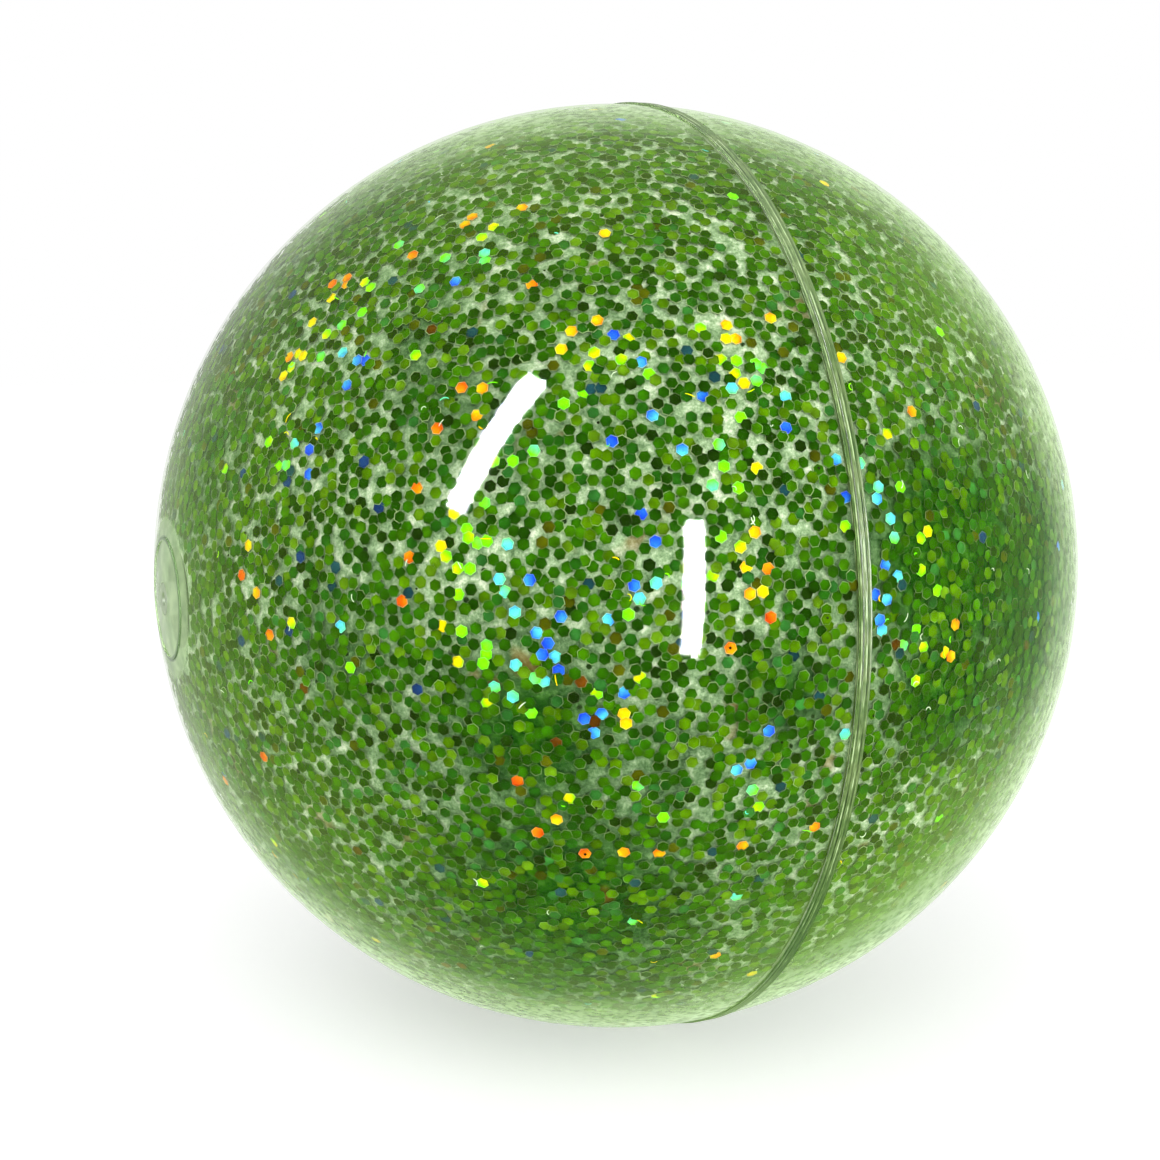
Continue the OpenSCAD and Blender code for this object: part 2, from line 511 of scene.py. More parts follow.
def vinyl_material():
    """Clear vinyl of the wall, with its outer skin and its inner face told apart by their radius."""
    material, tree = new_material("clear_vinyl")
    place = object_coordinates(tree)
    radius = vector_math(tree, "LENGTH", place).outputs["Value"]
    is_inner = math_node(tree, "LESS_THAN", radius, BALL_R - WALL / 2)
    thick = thickness(tree, place)
    output(tree, mix_shader(tree, is_inner, outer_skin(tree, place, thick), inner_face(tree, place, thick)))
    return material


# Cloudy tones of the plug and its socket
PLUG_CLOUDS = [(0.3, (104, 128, 84)), (0.7, (138, 162, 112))]


def plug_material():
    """Soft cloudy vinyl of the plug and its socket."""
    material, tree = new_material("plug_vinyl")
    place = object_coordinates(tree)
    shader = node(tree, "ShaderNodeBsdfPrincipled", Roughness=0.42)
    shader.inputs["Specular IOR Level"].default_value = 0.4
    clouds = colour_ramp(tree, noise(tree, place, 400, 3.0), PLUG_CLOUDS)
    tree.links.new(clouds, shader.inputs["Base Color"])
    tree.links.new(bump(tree, noise(tree, place, 900, 2.0), 0.15, 0.0002), shader.inputs["Normal"])
    output(tree, shader.outputs[0])
    return material


# Painted highlights (bright) and painted shade (dark) in lines along the strap's ridges and edges: place
# across it from -1 to 1, half width, shade
STRAP_HIGHLIGHT_AND_SHADE_LINES = [
    (-0.94, 0.08, -0.5),
    (-0.66, 0.13, 1.3),
    (-0.38, 0.14, -0.8),
    (-0.10, 0.10, 0.6),
    (0.14, 0.13, 1.3),
    (0.44, 0.16, -0.6),
    (0.76, 0.10, 0.5),
    (0.97, 0.06, -0.5),
]
# Colours of the strap by its tone, in its greyer and in its greener stretches
STRAP_GREY = [
    (0.10, (44, 64, 24)),
    (0.34, (96, 118, 66)),
    (0.56, (124, 148, 92)),
    (0.95, (204, 226, 176)),
]
STRAP_GREEN = [
    (0.10, (24, 58, 12)),
    (0.34, (54, 92, 30)),
    (0.56, (84, 118, 50)),
    (0.95, (190, 220, 152)),
]
# What the strap fades to at its top and at its bottom
STRAP_TOP = (160, 180, 142)
STRAP_BOTTOM = (140, 172, 100)
# Step in the noise that breaks the lines, so that each breaks on its own
LINE_APART = 37.0


def strap_tone(tree, across, along, faint):
    """Tone of the strap from its streaks and its lines of painted highlight and shade, which are fainter
    where faint is low.
    """
    wide = math_node(tree, "MULTIPLY", across, 2.6)
    slow = math_node(tree, "MULTIPLY", along, 0.22)
    tone = math_node(tree, "MULTIPLY", noise(tree, combined(tree, wide, slow), 2.0, 4.0, 0.65), 0.75)
    tone = math_node(tree, "ADD", tone, -0.01)
    drift = noise(tree, combined(tree, None, along), 0.06)
    wander = math_node(tree, "MULTIPLY", math_node(tree, "SUBTRACT", drift, 0.5), 0.30)
    moved = math_node(tree, "ADD", across, wander)
    # Bright lines are painted highlights and dark lines painted shade
    for index, (centre, half_width, shade) in enumerate(STRAP_HIGHLIGHT_AND_SHADE_LINES):
        at_edge = abs(centre) > 0.9
        line = line_mask(tree, across if at_edge else moved, centre, half_width)
        own_place = combined(tree, LINE_APART * index, along)
        broken = smooth_range(tree, noise(tree, own_place, 0.13, 2.0), 0.40, 0.58, 0.1, 1.0)
        line = math_node(tree, "MULTIPLY", math_node(tree, "MULTIPLY", line, broken), faint)
        tone = weighted_sum(tree, tone, 1.0, line, 0.40 * shade)
    return tone


def strap_material():
    """Clear flake-free vinyl of the seam: grey-green with streaks, and fine lines of painted highlight and
    shade along it.
    """
    material, tree = new_material("strap_vinyl")
    uv = tree.nodes.new("ShaderNodeUVMap")
    uv.uv_map = "along_strap"
    parts = separated(tree, uv.outputs[0])
    across, along = parts[0], parts[1]
    height = separated(tree, object_coordinates(tree))[2]
    low = smooth_range(tree, height, -0.20 * BALL_R, -0.55 * BALL_R, 0.0, 1.0)
    tone = strap_tone(tree, across, along, map_range(tree, low, 0.0, 1.0, 1.0, 0.55))
    tint = noise(tree, combined(tree, None, along), 0.16, 2.0)
    tint = smooth_range(tree, tint, 0.42, 0.58, 0.0, 0.6)
    tint = math_node(tree, "MAXIMUM", tint, math_node(tree, "MULTIPLY", low, 0.85))
    colour = mix_colour(tree, tint, colour_ramp(tree, tone, STRAP_GREY), colour_ramp(tree, tone, STRAP_GREEN))
    paler = smooth_range(tree, height, 0.25 * BALL_R, 0.85 * BALL_R, 0.0, 0.2)
    colour = mix_colour(tree, paler, colour, STRAP_TOP)
    hazy = smooth_range(tree, height, -0.60 * BALL_R, -0.90 * BALL_R, 0.0, 0.6)
    colour = mix_colour(tree, hazy, colour, STRAP_BOTTOM)
    shader = node(tree, "ShaderNodeBsdfPrincipled", Roughness=0.35)
    shader.inputs["Specular IOR Level"].default_value = 0.06
    tree.links.new(colour, shader.inputs["Base Color"])
    tree.links.new(bump(tree, tone, 0.35, 0.0002), shader.inputs["Normal"])
    output(tree, shader.outputs[0])
    return material


# Pale edge of a flake, painted as a highlight of light catching it
FLAKE_EDGE_HIGHLIGHT = (190, 218, 150)


def flake_reach(tree, x, y):
    """Distance from a flake's middle towards its nearest flat, which is 1 at the flat."""
    reach = None
    for turn in (0, 60, 120):
        c, s = math.cos(math.radians(turn)), math.sin(math.radians(turn))
        along = math_node(tree, "ABSOLUTE", weighted_sum(tree, x, c, y, s))
        reach = along if reach is None else math_node(tree, "MAXIMUM", reach, along)
    return reach


def flake_material():
    """Holographic film: each flake has its own colour or a painted glint colour, with a slight gradient, and
    a pale edge on one side painted as a highlight.
    """
    material, tree = new_material("holographic_film")
    own = tree.nodes.new("ShaderNodeAttribute")
    own.attribute_name = "film_colour"
    uv = tree.nodes.new("ShaderNodeUVMap")
    uv.uv_map = "across_flake"
    parts = separated(tree, uv.outputs[0])
    reach = flake_reach(tree, parts[0], parts[1])
    # The pale edge on one side of each flake is a painted highlight
    edge_highlight = smooth_range(tree, reach, 0.84, 0.96, 0.0, 1.0)
    one_side = smooth_range(tree, parts[0], -0.3, 0.7, 0.3, 1.0)
    edge_highlight = math_node(tree, "MULTIPLY", edge_highlight, one_side)
    edge_highlight = math_node(tree, "MULTIPLY", edge_highlight, own.outputs["Alpha"])
    mottle = noise(tree, object_coordinates(tree), 900, 2.0, 0.6)
    # A darker line just inside each flake's edge
    dark_edge_line = line_mask(tree, reach, 0.80, 0.09)
    shade = math_node(tree, "ADD", weighted_sum(tree, mottle, 1.2, dark_edge_line, -0.38), 0.45)
    toned = vector_math(tree, "SCALE", own.outputs["Color"])
    tree.links.new(shade, toned.inputs["Scale"])
    colour = mix_colour(tree, edge_highlight, toned.outputs[0], FLAKE_EDGE_HIGHLIGHT)
    shader = node(tree, "ShaderNodeBsdfPrincipled", Roughness=0.5)
    shader.inputs["Specular IOR Level"].default_value = 0.0
    shader.inputs["Sheen Weight"].default_value = 0.14
    shader.inputs["Sheen Roughness"].default_value = 0.5
    shader.inputs["Sheen Tint"].default_value = (0.70, 0.85, 0.10, 1)
    tree.links.new(colour, shader.inputs["Base Color"])
    output(tree, shader.outputs[0])
    return material


# Glitter

# Least distance between two flakes, in their width, and how many places are tried for each
CLOSEST = 0.7
TRIES = 3
# A cell and the 26 cells round it
NEIGHBOURS = [(dx, dy, dz) for dx in (-1, 0, 1) for dy in (-1, 0, 1) for dz in (-1, 0, 1)]


def too_near(point, taken, key, step):
    """True where a point already taken lies within a step, in this cell or the ones round it."""
    x, y, z = point
    for dx, dy, dz in NEIGHBOURS:
        for other in taken.get((key[0] + dx, key[1] + dy, key[2] + dz), ()):
            if (x - other[0]) ** 2 + (y - other[1]) ** 2 + (z - other[2]) ** 2 < step * step:
                return True
    return False


def scatter(count, rng):
    """Random directions over the ball, clear of the seam and the pad, and seldom on top of each other."""
    step = FLAKE_AF * CLOSEST
    cell = step * 1.001
    tries = rng.normal(size=(count * TRIES, 3))
    tries /= np.linalg.norm(tries, axis=1)[:, None]
    tries *= BALL_R
    off_seam = np.abs(tries[:, 0]) > SEAM_CLEAR + FLAKE_R * 0.9
    off_pad = (tries[:, 0] > 0) | (np.hypot(tries[:, 1], tries[:, 2]) > PAD_CLEAR)
    taken = {}
    kept = []
    for point in tries[off_seam & off_pad]:
        key = tuple(int(v) for v in np.floor(point / cell))
        if too_near(point, taken, key, step):
            continue
        taken.setdefault(key, []).append(point)
        kept.append(point)
        if len(kept) == count:
            break
    return np.array(kept) / BALL_R


# Greens of the plain flakes and how often each comes, and the painted glint colours of the bright flakes from
# blue to red
GREENS = [
    (0.18, (30, 82, 2)),
    (0.22, (46, 108, 2)),
    (0.17, (64, 126, 2)),
    (0.08, (36, 100, 16)),
    (0.10, (86, 137, 2)),
    (0.06, (26, 60, 4)),
    (0.04, (52, 124, 46)),
    (0.02, (84, 92, 4)),
    (0.04, (102, 151, 16)),
    (0.008, (30, 78, 84)),
    (0.002, (104, 60, 8)),
    (0.002, (26, 62, 118)),
]
GLINT_SPECTRUM = [
    (0.00, (20, 60, 220)),
    (0.11, (44, 124, 246)),
    (0.20, (92, 232, 244)),
    (0.30, (110, 252, 176)),
    (0.38, (112, 255, 12)),
    (0.58, (140, 255, 8)),
    (0.65, (246, 246, 4)),
    (0.80, (255, 206, 6)),
    (0.88, (255, 146, 12)),
    (1.00, (228, 74, 8)),
]

# Rings of flakes with painted glints round fixed spots, the first two round where the highlights lie:
# azimuth, elevation, inner and outer angle, and share of them
GLINT_RING_SPOTS = [
    (-40, 19, 18, 32, 0.053),
    (-16, 7, 16, 32, 0.054),
    (137, 25, 17, 27, 0.05),
    (-152, 14, 17, 27, 0.05),
    (96, -22, 17, 27, 0.05),
    (160, 72, 17, 27, 0.05),
    (-107, -33, 17, 27, 0.06),
    (112, -9, 32, 52, 0.036),
]
# Where the painted glints of those rings crowd: azimuth and elevation
CROWDS = [
    (-64, 38), (-62, 19), (-24, 6), (-60, 31), (-11, -12), (-47, 47),
    (-68, 30), (1, 4), (-34, 1), (-39, 24), (-26, -4), (-28, 30),
    (-15, 19), (-13, 8), (-71, 3), (-39, 9), (-42, 12), (-10, 30),
    (-66, 0), (6, 8), (1, 15), (12, -2), (64, -22), (75, 10),
    (118, -30), (115, 30), (150, 10), (165, 40), (-150, 38), (-170, 0),
    (-128, 5), (-95, -50), (160, 50), (137, 48), (124, 8), (158, 20),
    (-152, -8), (-175, 18), (-135, 28), (96, -44), (82, -5), (75, -30),
    (-140, 66),
]
# Angle over which a crowd thins out, and how much more often bright flakes come at its middle
CROWD_REACH = 3.8
CROWD_GAIN = 6
# The same factor far from a crowd, and the share of flakes with a painted glint that lie anywhere
LEAST_CROWDING = 0.3
LONE_SHARE = 0.006
# How far a bright flake strays from its ring's order of colours
RING_BLUR = 0.05
# Range of brightness of the plain flakes
FILM_RANGE = (0.54, 0.89)
# How far a plain flake's brightness, and a bright one's place in the spectrum, lean from side to side
GREEN_LEAN = 0.25
BRIGHT_LEAN = 0.07


def film_colours(count, rng):
    """Colours of plain flakes."""
    shares = np.array([share for share, _ in GREENS])
    table = np.array([linear(*colour) for _, colour in GREENS])
    picks = rng.choice(len(GREENS), size=count, p=shares / shares.sum())
    return table[picks] * rng.uniform(*FILM_RANGE, size=(count, 1))


def spectrum(share):
    """Painted glint colours of bright flakes by their place in the spectrum."""
    places = [place for place, _ in GLINT_SPECTRUM]
    colours = np.array([linear(*colour) for _, colour in GLINT_SPECTRUM])
    return np.stack([np.interp(share, places, colours[:, k]) for k in range(3)], axis=-1)


def angle_from(normals, azimuth, elevation):
    """Angle in degrees between each flake's place and a spot, from the middle of the ball."""
    return np.degrees(np.arccos(np.clip(normals @ np.array(aim(azimuth, elevation)), -1, 1)))


def crowding(normals):
    """A field over the ball that is high at the crowds of bright flakes and low between them."""
    field = np.full(len(normals), LEAST_CROWDING)
    for azimuth, elevation in CROWDS:
        away = angle_from(normals, azimuth, elevation)
        field += CROWD_GAIN * np.exp(-((away / CROWD_REACH) ** 2))
    return field


def glint_shares(normals, rng):
    """Place of each flake in the spectrum of painted glint colours, or -1 for a plain green one.

    Lone painted glints lie anywhere, and rings of them run from blue to red, as the film's diffraction glints
    round the lamps' highlights."""
    count = len(normals)
    field = crowding(normals)
    shares = np.where(rng.random(count) < LONE_SHARE, rng.random(count), -1.0)
    for azimuth, elevation, inner, outer, ring_share in GLINT_RING_SPOTS:
        away = angle_from(normals, azimuth, elevation)
        share = (away - inner) / (outer - inner) + rng.normal(0, RING_BLUR, count)
        # The outer colours are a little rarer
        chance = ring_share * field * (1.1 - 0.3 * share)
        hit = (share > 0) & (share < 1) & (rng.random(count) < chance)
        shares[hit] = share[hit]
    return shares


def thick_ground(normals):
    """1 where a flake lies over dark ground, as the thick spots of the inner face say."""
    thick = np.zeros(len(normals))
    for spots, plain_only in ((THICK_SPOTS, False), (PLAIN_THICK_SPOTS, True)):
        for azimuth, elevation, reach, soft in spots:
            apart = np.linalg.norm(normals - np.array(aim(azimuth, elevation)), axis=1)
            spot = np.clip((reach - apart) / soft, 0, 1)
            if plain_only:
                spot = spot * (normals[:, 0] > 0)
            thick = np.maximum(thick, spot)
    return thick


def corner_turns():
    """Angles of a hexagon's corners, with a flat across its first axis."""
    return np.radians(np.arange(6) * 60 + 30)


def corner_colours(shares, rng):
    """Colour at each corner of each flake, which leans from one side to the other."""
    count = len(shares)
    lean = np.cos(corner_turns()[None, :] + rng.uniform(0, 2 * math.pi, count)[:, None])
    colours = film_colours(count, rng)[:, None, :] * (1 + GREEN_LEAN * lean)[:, :, None]
    # Bright flakes get painted glint colours in place of their green
    bright = shares >= 0
    colours[bright] = spectrum(np.clip(shares[bright][:, None] + BRIGHT_LEAN * lean[bright], 0, 1))
    return colours


def tangents(normals):
    """Two directions along the wall at each place, at right angles."""
    away = np.where(np.abs(normals[:, :1]) < 0.9, np.array([[1.0, 0, 0]]), np.array([[0, 1.0, 0]]))
    tangent = np.cross(away, normals)
    tangent /= np.linalg.norm(tangent, axis=1)[:, None]
    return tangent, np.cross(normals, tangent)


def flake_axes(normals, spins, tilts):
    """Each flake's two axes in its plane and the one across it, spun about the wall and tilted a little."""
    tangent, side = tangents(normals)
    c, s = np.cos(spins)[:, None], np.sin(spins)[:, None]
    u = tangent * c + side * s
    v = side * c - tangent * s
    n = normals + u * tilts[:, :1] + v * tilts[:, 1:]
    n /= np.linalg.norm(n, axis=1)[:, None]
    u = u - n * (u * n).sum(axis=1)[:, None]
    u /= np.linalg.norm(u, axis=1)[:, None]
    return u, np.cross(n, u), n


def prism_loops():
    """Vertex numbers round the faces of a hexagonal prism: its top, its bottom and its six sides."""
    loops = list(range(6)) + list(range(11, 5, -1))
    for k in range(6):
        after = (k + 1) % 6
        loops += [k, k + 6, after + 6, after]
    return np.array(loops), np.array([6, 6] + [4] * 6)


def film_layers(mesh, uv, rgba):
    """The map across each flake and the film's colours with painted glints and edge highlights, at each
    corner of each face.
    """
    across = mesh.uv_layers.new(name="across_flake")
    across.data.foreach_set("uv", uv.astype(np.float32).reshape(-1))
    colour = mesh.attributes.new("film_colour", "FLOAT_COLOR", "CORNER")
    colour.data.foreach_set("color", rgba.astype(np.float32).reshape(-1))


def flakes_mesh(name, normals, spins, depths, tilts, radii, colours, edge_highlights):
    """One mesh of hexagonal prisms with a UV map across each flake and its own colours."""
    count = len(normals)
    u, v, n = flake_axes(normals, spins, tilts)
    centres = normals * (BALL_R - depths)[:, None]
    turns = corner_turns()
    corner = np.stack([np.cos(turns), np.sin(turns)], axis=1)
    ring = (u[:, None, :] * corner[None, :, :1] + v[:, None, :] * corner[None, :, 1:]) * radii[:, None, None]
    top = centres[:, None, :] + ring
    bottom = top - n[:, None, :] * FLAKE_T
    vertices = np.concatenate([top, bottom], axis=1).reshape(-1, 3)
    loops, sizes = prism_loops()
    all_loops = (loops[None, :] + np.arange(count)[:, None] * 12).reshape(-1)
    all_sizes = np.tile(sizes, count)
    starts = np.concatenate([[0], np.cumsum(all_sizes)[:-1]])
    mesh = bpy.data.meshes.new(name)
    mesh.vertices.add(len(vertices))
    mesh.vertices.foreach_set("co", vertices.astype(np.float32).reshape(-1))
    mesh.loops.add(len(all_loops))
    mesh.loops.foreach_set("vertex_index", all_loops.astype(np.int32))
    mesh.polygons.add(len(all_sizes))
    mesh.polygons.foreach_set("loop_start", starts.astype(np.int32))
    # A flat lies at distance 1 from the middle, so the corners lie at 2 / sqrt(3)
    uv = (corner * 2 / math.sqrt(3))[loops % 6]
    # The alpha channel carries the strength of each flake's painted edge highlight
    rgba = np.concatenate([colours, np.repeat(edge_highlights[:, None, None], 6, axis=1)], axis=2)
    film_layers(mesh, np.tile(uv, (count, 1)), rgba[:, loops % 6])
    mesh.update(calc_edges=True)
    mesh.validate()
    mesh.shade_flat()
    return mesh


def place_in_wall(mesh, material, node_name=None):
    """Put a mesh of film into the scene, in the place of a CAD node if one is named."""
    mesh.materials.append(material)
    piece = add_object(mesh.name, mesh)
    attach(piece, "root")
    if node_name:
        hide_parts(node_name)


# Range of the flakes' depths in the wall in mm, and how far they tilt
FLAKE_DEPTHS = (0.45, 1.02)
FLAKE_TILT = 0.02
# Strength of the painted edge highlight of a bright flake, and the most and the power of a plain one's
BRIGHT_EDGE_HIGHLIGHT = 0.5
MOST_PLAIN_EDGE_HIGHLIGHT = 0.85
EDGE_HIGHLIGHT_POWER = 1.4
# Over dark ground: loss of the painted edge highlights, and spread of the greens' brightness
EDGE_HIGHLIGHT_LOSS = 0.6
GREEN_SPREAD = 0.4


def make_glitter(material):
    """The flakes of both halves, in two meshes each."""
    rng = np.random.default_rng(SEED)
    normals = scatter(FLAKE_COUNT, rng)
    count = len(normals)
    spins = rng.uniform(0, 2 * math.pi, count)
    depths = rng.uniform(*FLAKE_DEPTHS, count) * MM
    tilts = rng.normal(0, FLAKE_TILT, (count, 2))
    radii = np.full(count, FLAKE_R)
    # Which flakes get painted glints, and where in the spectrum
    shares = glint_shares(normals, np.random.default_rng(FILM_SEED))
    bright = shares >= 0
    colours = corner_colours(shares, rng)
    thick = thick_ground(normals)
    # Strength of each flake's painted edge highlight, less over dark ground
    plain_edge_highlights = rng.uniform(0, MOST_PLAIN_EDGE_HIGHLIGHT, count) ** EDGE_HIGHLIGHT_POWER
    edge_highlights = np.where(bright, BRIGHT_EDGE_HIGHLIGHT, plain_edge_highlights) * (1 - EDGE_HIGHLIGHT_LOSS * thick)
    spread = 1 + GREEN_SPREAD * thick * rng.uniform(-1, 1, count) * ~bright
    colours = colours * spread[:, None, None]
    halves = {"valve_half_glitter": normals[:, 0] < 0, "plain_half_glitter": normals[:, 0] >= 0}
    for name, mask in halves.items():
        for part, chunk in enumerate(np.array_split(np.nonzero(mask)[0], 2)):
            fields = [field[chunk] for field in (normals, spins, depths, tilts, radii, colours, edge_highlights)]
            place_in_wall(flakes_mesh(f"{name}_flakes_{part + 1}", *fields), material, name)
    return normals[bright]


# The specks: colour and range of its brightness, depth in the wall, tilt, and range of radii in mm
SPECK_COLOUR = (22, 30, 12)
SPECK_RANGE = (0.4, 1.6)
SPECK_DEPTH = 0.38 * MM
SPECK_TILT = 0.03
SPECK_RADII = (0.12, 0.32)


def make_specks(material):
    """Tiny dark chips of film in the wall."""
    rng = np.random.default_rng(SEED + 1)
    normals = scatter(SPECK_COUNT, rng)
    count = len(normals)
    colour = np.array(linear(*SPECK_COLOUR))
    mesh = flakes_mesh(
        "dark_specks",
        normals,
        colours=np.tile(colour, (count, 6, 1)) * rng.uniform(*SPECK_RANGE, (count, 1, 1)),
        spins=rng.uniform(0, 2 * math.pi, count),
        depths=np.full(count, SPECK_DEPTH),
        tilts=rng.normal(0, SPECK_TILT, (count, 2)),
        radii=rng.uniform(*SPECK_RADII, count) * MM,
        edge_highlights=np.zeros(count),
    )
    place_in_wall(mesh, material)


# Cross-sections of a sliver along its length, and depths of its faces in the wall
SLIVER_STEPS = 7
SLIVER_TOP = 0.36 * MM
SLIVER_BOTTOM = 0.42 * MM
# Half of a sliver's turn, and ranges of its length and of its half width in mm
SLIVER_TURN = 1.6
SLIVER_LENGTHS = (0.8, 2.2)
SLIVER_HALF_WIDTHS = (0.07, 0.13)
# How far a sliver strays from a bright flake, in the flake's radius
SLIVER_STRAY = 1.3
# Colour of the pale slivers and their share, and range in the spectrum of painted glint colours of the others
SLIVER_PALE = (216, 238, 196)
PALE_SHARE = 0.6
SLIVER_SPECTRUM = (0.1, 0.8)


def sliver_places(near, rng):
    """Half of the slivers lie beside a bright flake, and the others anywhere."""
    half = SLIVER_COUNT // 2
    beside = near[rng.integers(0, len(near), half)]
    beside = beside + rng.normal(0, 1.0, beside.shape) * FLAKE_R * SLIVER_STRAY / BALL_R
    beside /= np.linalg.norm(beside, axis=1)[:, None]
    clear = np.abs(beside[:, 0]) * BALL_R > SEAM_CLEAR + 2 * FLAKE_R
    return np.concatenate([beside[clear], scatter(half, rng)])


def sliver_points(normals, rng):
    """Corners of each sliver, four to a cross-section, along a curve in the wall."""
    count = len(normals)
    tangent, side = tangents(normals)
    turn = rng.uniform(-SLIVER_TURN, SLIVER_TURN, count)
    heading = rng.uniform(0, 2 * math.pi, count)
    length = rng.uniform(*SLIVER_LENGTHS, count) * MM
    half_w = rng.uniform(*SLIVER_HALF_WIDTHS, count) * MM
    corners = ((-1, SLIVER_TOP), (1, SLIVER_TOP), (1, SLIVER_BOTTOM), (-1, SLIVER_BOTTOM))
    middle = np.zeros((count, 2))
    points = np.zeros((count, SLIVER_STEPS, 4, 3))
    for k in range(SLIVER_STEPS):
        share = k / (SLIVER_STEPS - 1)
        way = heading + turn * (share - 0.5) * 2
        ahead = np.stack([np.cos(way), np.sin(way)], axis=1)
        if k:
            middle = middle + ahead * (length / (SLIVER_STEPS - 1))[:, None]
        taper = 1.0 - 0.6 * abs(share - 0.4)
        across = np.stack([-ahead[:, 1], ahead[:, 0]], axis=1) * half_w[:, None] * taper
        for corner, (sign, depth) in enumerate(corners):
            flat = middle + across * sign
            place = normals * BALL_R + tangent * flat[:, :1] + side * flat[:, 1:]
            place /= np.linalg.norm(place, axis=1)[:, None]
            points[:, k, corner] = place * (BALL_R - depth)
    return points


def sliver_faces():
    """Vertex numbers of one sliver's faces: both ends and its four long sides."""
    last = (SLIVER_STEPS - 1) * 4
    faces = [(0, 3, 2, 1), (last, last + 1, last + 2, last + 3)]
    for k in range(SLIVER_STEPS - 1):
        for c in range(4):
            after = (c + 1) % 4
            faces.append((k * 4 + c, k * 4 + after, k * 4 + 4 + after, k * 4 + 4 + c))
    return faces


def make_slivers(material, near):
    """Thin curled offcuts of film, many of them beside a bright flake; the coloured ones take painted glint
    colours.
    """
    rng = np.random.default_rng(SEED + 2)
    points = sliver_points(sliver_places(near, rng), rng)
    count = len(points)
    faces = sliver_faces()
    all_faces = [tuple(v + i * SLIVER_STEPS * 4 for v in face) for i in range(count) for face in faces]
    mesh = bpy.data.meshes.new("film_slivers")
    mesh.from_pydata(points.reshape(-1, 3).tolist(), [], all_faces)
    pale = rng.random(count) < PALE_SHARE
    pale_colour = np.array(linear(*SLIVER_PALE))[None, :]
    # Slivers that are not pale get painted glint colours
    colours = np.where(pale[:, None], pale_colour, spectrum(rng.uniform(*SLIVER_SPECTRUM, count)))
    rgba = np.concatenate([colours, np.zeros((count, 1))], axis=1)
    # The map's corners all lie at the middle of a flake, so that a sliver gets no painted edge highlight
    film_layers(mesh, np.zeros((len(mesh.loops), 2)), np.repeat(rgba, len(faces) * 4, axis=0))
    mesh.shade_flat()
    place_in_wall(mesh, material)


# Seam strap

# Points across the strap's outer face
STRAP_ACROSS = 44
# Places, half widths and heights of the parting groove and of the flow ridge across it
GROOVE = (-0.40, 0.07, -0.10 * MM)
FLOW_RIDGE = (0.30, 0.12, 0.06 * MM)
# Height of the fine waves across it, and how many there are, as an angle
FINE_WAVES = 0.02 * MM
FINE_TURN = 23
# How far the strap wanders to the sides, and how far it sags
STRAP_DRIFT = 0.05 * MM
STRAP_SAG = 0.03 * MM
# Waves in a turn of the ball by which it wanders and sags
DRIFT_TURNS = (3, 7, 11, 19)
SAG_TURNS = (5, 9, 23, 41)


def strap_height(share):
    """Height of the strap's outer face over the wall, by the place across it from -1 to 1."""
    from_edge = STRAP_HALF_W * (1 - abs(share))
    lip = 0.5 + 0.5 * math.cos(math.pi * min(from_edge / (STRAP_LIP_W * 1.6), 1))
    height = STRAP_R - BALL_R - STRAP_LIP_RISE * (1 - lip)
    for centre, half_width, rise in (GROOVE, FLOW_RIDGE):
        height += rise * math.exp(-(((share - centre) / half_width) ** 2))
    return height + FINE_WAVES * math.sin(share * FINE_TURN) * (1 - share * share)


def strap_profile():
    """Closed section of the strap: places across it and heights over the ball's wall, outer face first."""
    outer = []
    for k in range(STRAP_ACROSS + 1):
        share = -1 + 2 * k / STRAP_ACROSS
        height = strap_height(share)
        if k in (0, STRAP_ACROSS):
            height *= 0.45
        outer.append((share * STRAP_HALF_W, height))
    inside = -WALL - FLASH_RISE
    return outer + [
        (STRAP_HALF_W, 0),
        (CORE_HALF_W, 0),
        (CORE_HALF_W, -WALL),
        (FLASH_HALF_W, -WALL),
        (FLASH_HALF_W * 0.8, inside),
        (-FLASH_HALF_W * 0.8, inside),
        (-FLASH_HALF_W, -WALL),
        (-CORE_HALF_W, -WALL),
        (-CORE_HALF_W, 0),
        (-STRAP_HALF_W, 0),
    ]


def wave(angle, turns, rng):
    """Smooth periodic wandering round the ball, between about -1 and 1."""
    total = 0
    for turn in turns:
        total = total + np.sin(angle * turn + rng.uniform(0, 2 * math.pi)) / math.sqrt(turn)
    return total / sum(1 / math.sqrt(turn) for turn in turns)


def strap_points(profile, angle, rng):
    """Points of the strap round the ball, which wanders and sags a little."""
    drift = STRAP_DRIFT * wave(angle, DRIFT_TURNS, rng)
    sag = STRAP_SAG * (1 + wave(angle, SAG_TURNS, rng)) / 2
    proud = np.clip(profile[:, 1], 0, None) / (STRAP_R - BALL_R)
    narrower = 1 - np.abs(drift[:, None]) / STRAP_HALF_W
    x = profile[None, :, 0] * narrower + drift[:, None] * (proud[None, :] > 0)
    radius = BALL_R + profile[None, :, 1] - sag[:, None] * proud[None, :]
    return np.stack([x, radius * np.sin(angle)[:, None], radius * np.cos(angle)[:, None]], axis=-1)


def strap_map(profile):
    """Places on the strap at the corners of each face: across it from -1 to 1, and along it in mm."""
    here = np.arange(len(profile))[None, :]
    after = (here + 1) % len(profile)
    share = profile[:, 0] / STRAP_HALF_W
    u = np.stack([share[here], share[after], share[after], share[here]], axis=-1)
    length = BALL_R / MM * 2 * math.pi
    low = (np.arange(STRAP_STEPS) / STRAP_STEPS * length)[:, None]
    high = low + length / STRAP_STEPS
    v = np.stack([low, low, high, high], axis=-1)
    return np.stack(np.broadcast_arrays(u, v), axis=-1)


